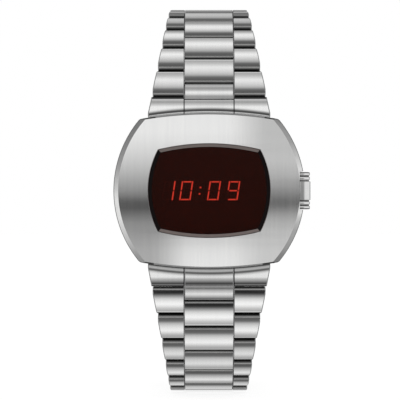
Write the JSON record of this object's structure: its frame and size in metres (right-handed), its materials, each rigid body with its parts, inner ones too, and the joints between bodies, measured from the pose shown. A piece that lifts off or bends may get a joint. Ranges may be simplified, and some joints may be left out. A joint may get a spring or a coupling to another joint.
{
  "type": "led watch",
  "caption": "Steel wrist watch with a cushion-shaped case, dark red light-emitting display, side pusher, tapered link bracelet and three-fold clasp",
  "frame": {"origin": "centre of the case back's flat, which rests on the wrist", "axes": "+Z to 12 o'clock, +X to the pusher at 3 o'clock, the dial faces -Y and the wrist lies at +Y"},
  "size_m": [0.0422, 0.0526, 0.086],
  "materials": {
    "case_steel": "brushed front, polished bevels",
    "link_steel": "brushed along the bracelet",
    "clasp_steel": "brushed",
    "blade_steel": "rolled, half bright",
    "back_steel": "fine circular brushing",
    "bright_metal": "polished steel",
    "dark_crystal": "dark red tinted, polished",
    "black_rubber": "matt",
    "black_plastic": "moulded",
    "green_board": "lacquered",
    "dark_ceramic": "matt ceramic",
    "red_light": "glowing red",
    "dark_segment": "unlit",
    "black_resin": "moulded",
    "gold_contact": "plated"
  },
  "bodies": {
    "case": {"case_body": "case_steel", "crystal": "dark_crystal", "crystal_gasket": "black_rubber", "display_mask": "black_plastic", "module_holder": "black_plastic", "circuit_board": "green_board", "led_substrate": "dark_ceramic", "segments_lit": "red_light", "segments_dark": "dark_segment", "driver_chip": "black_resin", "quartz_can": "bright_metal", "battery_holder": "black_plastic", "battery": "bright_metal", "battery_strap": "bright_metal", "battery_contact": "gold_contact", "switch_leaf": "gold_contact", "case_back": "back_steel", "case_back_gasket": "black_rubber", "pusher_spring": "bright_metal", "end_link_upper": "link_steel", "end_link_lower": "link_steel", "end_link_bars": "bright_metal"},
    "pusher": {"pusher": "bright_metal", "pusher_gasket": "black_rubber", "pusher_clip": "bright_metal"},
    "upper_link_01": {"upper_link_01": "link_steel"},
    "upper_link_02": {"upper_link_02": "link_steel"},
    "upper_link_03": {"upper_link_03": "link_steel"},
    "upper_link_04": {"upper_link_04": "link_steel"},
    "upper_link_05": {"upper_link_05": "link_steel"},
    "upper_link_06": {"upper_link_06": "link_steel"},
    "upper_link_07": {"upper_link_07": "link_steel"},
    "upper_link_08": {"upper_link_08": "link_steel"},
    "upper_link_09": {"upper_link_09": "link_steel"},
    "upper_link_10": {"upper_link_10": "link_steel"},
    "upper_link_11": {"upper_link_11": "link_steel"},
    "lower_link_01": {"lower_link_01": "link_steel"},
    "lower_link_02": {"lower_link_02": "link_steel"},
    "lower_link_03": {"lower_link_03": "link_steel"},
    "lower_link_04": {"lower_link_04": "link_steel"},
    "lower_link_05": {"lower_link_05": "link_steel"},
    "lower_link_06": {"lower_link_06": "link_steel"},
    "lower_link_07": {"lower_link_07": "link_steel"},
    "lower_link_08": {"lower_link_08": "link_steel"},
    "lower_link_09": {"lower_link_09": "link_steel"},
    "lower_link_10": {"lower_link_10": "link_steel"},
    "lower_link_11": {"lower_link_11": "link_steel"},
    "lower_link_12": {"lower_link_12": "link_steel"},
    "clasp_cover": {"clasp_cover": "clasp_steel", "clasp_bar": "bright_metal", "cover_hinge_pin": "bright_metal"},
    "blade_outer": {"blade_outer": "blade_steel", "fold_hinge_pin": "bright_metal"},
    "blade_inner": {"blade_inner": "blade_steel", "open_bar_ends": "bright_metal"},
    "release_button_right": {"release_button_right": "bright_metal"},
    "release_button_left": {"release_button_left": "bright_metal"}
  },
  "joints": [
    {"name": "pusher_slide", "type": "slide", "parent": "case", "child": "pusher", "axis": [-1, 0, 0], "range_m": [0, 0.0006], "stiffness_N_per_m": 1500, "springref_m": -0.0006, "deforming": ["pusher_spring"]},
    {"name": "upper_hinge_01", "type": "hinge", "parent": "case", "child": "upper_link_01", "pos_m": [0, -0.0076, 0.0214], "axis": [1, 0, 0], "range_deg": [0, 11]},
    {"name": "upper_hinge_02", "type": "hinge", "parent": "upper_link_01", "child": "upper_link_02", "pos_m": [0, -0.00539, 0.02687], "axis": [1, 0, 0], "range_deg": [0, 14]},
    {"name": "upper_hinge_03", "type": "hinge", "parent": "upper_link_02", "child": "upper_link_03", "pos_m": [0, -0.00201, 0.0317], "axis": [1, 0, 0], "range_deg": [0, 14]},
    {"name": "upper_hinge_04", "type": "hinge", "parent": "upper_link_03", "child": "upper_link_04", "pos_m": [0, 0.00238, 0.03565], "axis": [1, 0, 0], "range_deg": [0, 16]},
    {"name": "upper_hinge_05", "type": "hinge", "parent": "upper_link_04", "child": "upper_link_05", "pos_m": [0, 0.00764, 0.03833], "axis": [1, 0, 0], "range_deg": [0, 16]},
    {"name": "upper_hinge_06", "type": "hinge", "parent": "upper_link_05", "child": "upper_link_06", "pos_m": [0, 0.01341, 0.03956], "axis": [1, 0, 0], "range_deg": [0, 15]},
    {"name": "upper_hinge_07", "type": "hinge", "parent": "upper_link_06", "child": "upper_link_07", "pos_m": [0, 0.0193, 0.03935], "axis": [1, 0, 0], "range_deg": [0, 17]},
    {"name": "upper_hinge_08", "type": "hinge", "parent": "upper_link_07", "child": "upper_link_08", "pos_m": [0, 0.02491, 0.03753], "axis": [1, 0, 0], "range_deg": [0, 17]},
    {"name": "upper_hinge_09", "type": "hinge", "parent": "upper_link_08", "child": "upper_link_09", "pos_m": [0, 0.02981, 0.03423], "axis": [1, 0, 0], "range_deg": [0, 17]},
    {"name": "upper_hinge_10", "type": "hinge", "parent": "upper_link_09", "child": "upper_link_10", "pos_m": [0, 0.0336, 0.02971], "axis": [1, 0, 0], "range_deg": [0, 17]},
    {"name": "upper_hinge_11", "type": "hinge", "parent": "upper_link_10", "child": "upper_link_11", "pos_m": [0, 0.036, 0.02432], "axis": [1, 0, 0], "range_deg": [0, 15]},
    {"name": "lower_hinge_01", "type": "hinge", "parent": "case", "child": "lower_link_01", "pos_m": [0, -0.0076, -0.02195], "axis": [-1, 0, 0], "range_deg": [0, 9]},
    {"name": "lower_hinge_02", "type": "hinge", "parent": "lower_link_01", "child": "lower_link_02", "pos_m": [0, -0.00617, -0.02767], "axis": [-1, 0, 0], "range_deg": [0, 13]},
    {"name": "lower_hinge_03", "type": "hinge", "parent": "lower_link_02", "child": "lower_link_03", "pos_m": [0, -0.00359, -0.03298], "axis": [-1, 0, 0], "range_deg": [0, 15]},
    {"name": "lower_hinge_04", "type": "hinge", "parent": "lower_link_03", "child": "lower_link_04", "pos_m": [0, 0.00021, -0.0375], "axis": [-1, 0, 0], "range_deg": [0, 15]},
    {"name": "lower_hinge_05", "type": "hinge", "parent": "lower_link_04", "child": "lower_link_05", "pos_m": [0, 0.00498, -0.04097], "axis": [-1, 0, 0], "range_deg": [0, 15]},
    {"name": "lower_hinge_06", "type": "hinge", "parent": "lower_link_05", "child": "lower_link_06", "pos_m": [0, 0.01045, -0.04318], "axis": [-1, 0, 0], "range_deg": [0, 17]},
    {"name": "lower_hinge_07", "type": "hinge", "parent": "lower_link_06", "child": "lower_link_07", "pos_m": [0, 0.01632, -0.04379], "axis": [-1, 0, 0], "range_deg": [0, 17]},
    {"name": "lower_hinge_08", "type": "hinge", "parent": "lower_link_07", "child": "lower_link_08", "pos_m": [0, 0.02213, -0.04277], "axis": [-1, 0, 0], "range_deg": [0, 17]},
    {"name": "lower_hinge_09", "type": "hinge", "parent": "lower_link_08", "child": "lower_link_09", "pos_m": [0, 0.02743, -0.04018], "axis": [-1, 0, 0], "range_deg": [0, 17]},
    {"name": "lower_hinge_10", "type": "hinge", "parent": "lower_link_09", "child": "lower_link_10", "pos_m": [0, 0.03182, -0.03623], "axis": [-1, 0, 0], "range_deg": [0, 17]},
    {"name": "lower_hinge_11", "type": "hinge", "parent": "lower_link_10", "child": "lower_link_11", "pos_m": [0, 0.03494, -0.03123], "axis": [-1, 0, 0], "range_deg": [0, 17]},
    {"name": "lower_hinge_12", "type": "hinge", "parent": "lower_link_11", "child": "lower_link_12", "pos_m": [0, 0.03657, -0.02556], "axis": [-1, 0, 0], "range_deg": [0, 13]},
    {"name": "clasp_bar_hinge", "type": "hinge", "parent": "lower_link_12", "child": "clasp_cover", "pos_m": [0, 0.03698, -0.01967], "axis": [-1, 0, 0], "range_deg": [0, 20]},
    {"name": "cover_hinge", "type": "hinge", "parent": "clasp_cover", "child": "blade_outer", "pos_m": [0, 0.03752, 0.01601], "axis": [-1, 0, 0], "range_deg": [0, 110]},
    {"name": "fold_hinge", "type": "hinge", "parent": "blade_outer", "child": "blade_inner", "pos_m": [0, 0.03688, -0.01597], "axis": [1, 0, 0], "range_deg": [0, 120]},
    {"name": "release_right_slide", "type": "slide", "parent": "clasp_cover", "child": "release_button_right", "axis": [-1, 0, 0], "range_m": [0, 0.0004], "stiffness_N_per_m": 1500, "springref_m": -0.0004},
    {"name": "release_left_slide", "type": "slide", "parent": "clasp_cover", "child": "release_button_left", "axis": [1, 0, 0], "range_m": [0, 0.0004], "stiffness_N_per_m": 1500, "springref_m": -0.0004}
  ]
}
